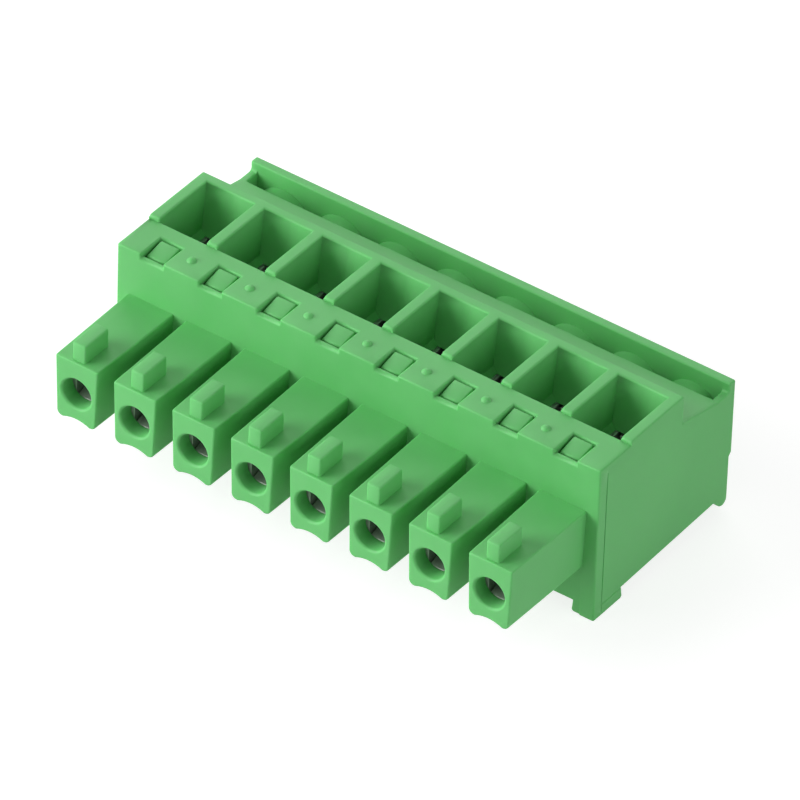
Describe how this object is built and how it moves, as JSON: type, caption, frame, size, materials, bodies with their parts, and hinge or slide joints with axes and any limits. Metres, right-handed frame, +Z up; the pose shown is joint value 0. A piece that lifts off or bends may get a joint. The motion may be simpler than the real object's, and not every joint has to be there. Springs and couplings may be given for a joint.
{
  "type": "pluggable terminal block",
  "caption": "Green pluggable screw terminal block with a row of socket fingers in front, wire funnels on top and clamp screws behind.",
  "frame": {"origin": "on the table under the middle of the part's length and depth", "axes": "+X along the row of poles, +Y from the socket fingers back to the clamp screws, +Z up to the wire funnels"},
  "size_m": [0.0312, 0.0188, 0.0102],
  "materials": {
    "green_plastic": "satin",
    "tinned_contact": "satin tin plating",
    "plated_cage": "zinc plating",
    "screw_steel": "zinc plating"
  },
  "bodies": {
    "housing": {"front_housing": "green_plastic", "rear_housing": "green_plastic", "contact_1": "tinned_contact", "contact_2": "tinned_contact", "contact_3": "tinned_contact", "contact_4": "tinned_contact", "contact_5": "tinned_contact", "contact_6": "tinned_contact", "contact_7": "tinned_contact", "contact_8": "tinned_contact"},
    "cage_1": {"clamp_cage_1": "plated_cage"},
    "cage_2": {"clamp_cage_2": "plated_cage"},
    "cage_3": {"clamp_cage_3": "plated_cage"},
    "cage_4": {"clamp_cage_4": "plated_cage"},
    "cage_5": {"clamp_cage_5": "plated_cage"},
    "cage_6": {"clamp_cage_6": "plated_cage"},
    "cage_7": {"clamp_cage_7": "plated_cage"},
    "cage_8": {"clamp_cage_8": "plated_cage"},
    "screw_1": {"clamp_screw_1": "screw_steel"},
    "screw_2": {"clamp_screw_2": "screw_steel"},
    "screw_3": {"clamp_screw_3": "screw_steel"},
    "screw_4": {"clamp_screw_4": "screw_steel"},
    "screw_5": {"clamp_screw_5": "screw_steel"},
    "screw_6": {"clamp_screw_6": "screw_steel"},
    "screw_7": {"clamp_screw_7": "screw_steel"},
    "screw_8": {"clamp_screw_8": "screw_steel"}
  },
  "joints": [
    {"name": "screw_turn_1", "type": "hinge", "parent": "housing", "child": "screw_1", "pos_m": [-0.01333, 0.00399, 0.0057], "axis": [0, -1, 0], "range_deg": [0, 1440]},
    {"name": "screw_turn_2", "type": "hinge", "parent": "housing", "child": "screw_2", "pos_m": [-0.00953, 0.00399, 0.0057], "axis": [0, -1, 0], "range_deg": [0, 1440]},
    {"name": "screw_turn_3", "type": "hinge", "parent": "housing", "child": "screw_3", "pos_m": [-0.00571, 0.00399, 0.0057], "axis": [0, -1, 0], "range_deg": [0, 1440]},
    {"name": "screw_turn_4", "type": "hinge", "parent": "housing", "child": "screw_4", "pos_m": [-0.00191, 0.00399, 0.0057], "axis": [0, -1, 0], "range_deg": [0, 1440]},
    {"name": "screw_turn_5", "type": "hinge", "parent": "housing", "child": "screw_5", "pos_m": [0.00191, 0.00399, 0.0057], "axis": [0, -1, 0], "range_deg": [0, 1440]},
    {"name": "screw_turn_6", "type": "hinge", "parent": "housing", "child": "screw_6", "pos_m": [0.00571, 0.00399, 0.0057], "axis": [0, -1, 0], "range_deg": [0, 1440]},
    {"name": "screw_turn_7", "type": "hinge", "parent": "housing", "child": "screw_7", "pos_m": [0.00953, 0.00399, 0.0057], "axis": [0, -1, 0], "range_deg": [0, 1440]},
    {"name": "screw_turn_8", "type": "hinge", "parent": "housing", "child": "screw_8", "pos_m": [0.01333, 0.00399, 0.0057], "axis": [0, -1, 0], "range_deg": [0, 1440]},
    {"name": "cage_slide_1", "type": "slide", "parent": "housing", "child": "cage_1", "axis": [0, 1, 0], "range_m": [0, 0.0016]},
    {"name": "cage_slide_2", "type": "slide", "parent": "housing", "child": "cage_2", "axis": [0, 1, 0], "range_m": [0, 0.0016]},
    {"name": "cage_slide_3", "type": "slide", "parent": "housing", "child": "cage_3", "axis": [0, 1, 0], "range_m": [0, 0.0016]},
    {"name": "cage_slide_4", "type": "slide", "parent": "housing", "child": "cage_4", "axis": [0, 1, 0], "range_m": [0, 0.0016]},
    {"name": "cage_slide_5", "type": "slide", "parent": "housing", "child": "cage_5", "axis": [0, 1, 0], "range_m": [0, 0.0016]},
    {"name": "cage_slide_6", "type": "slide", "parent": "housing", "child": "cage_6", "axis": [0, 1, 0], "range_m": [0, 0.0016]},
    {"name": "cage_slide_7", "type": "slide", "parent": "housing", "child": "cage_7", "axis": [0, 1, 0], "range_m": [0, 0.0016]},
    {"name": "cage_slide_8", "type": "slide", "parent": "housing", "child": "cage_8", "axis": [0, 1, 0], "range_m": [0, 0.0016]}
  ],
  "couplings": [
    {"joint": "screw_turn_1", "follows": "cage_slide_1", "rad_per_m": 15708},
    {"joint": "screw_turn_2", "follows": "cage_slide_2", "rad_per_m": 15708},
    {"joint": "screw_turn_3", "follows": "cage_slide_3", "rad_per_m": 15708},
    {"joint": "screw_turn_4", "follows": "cage_slide_4", "rad_per_m": 15708},
    {"joint": "screw_turn_5", "follows": "cage_slide_5", "rad_per_m": 15708},
    {"joint": "screw_turn_6", "follows": "cage_slide_6", "rad_per_m": 15708},
    {"joint": "screw_turn_7", "follows": "cage_slide_7", "rad_per_m": 15708},
    {"joint": "screw_turn_8", "follows": "cage_slide_8", "rad_per_m": 15708}
  ]
}
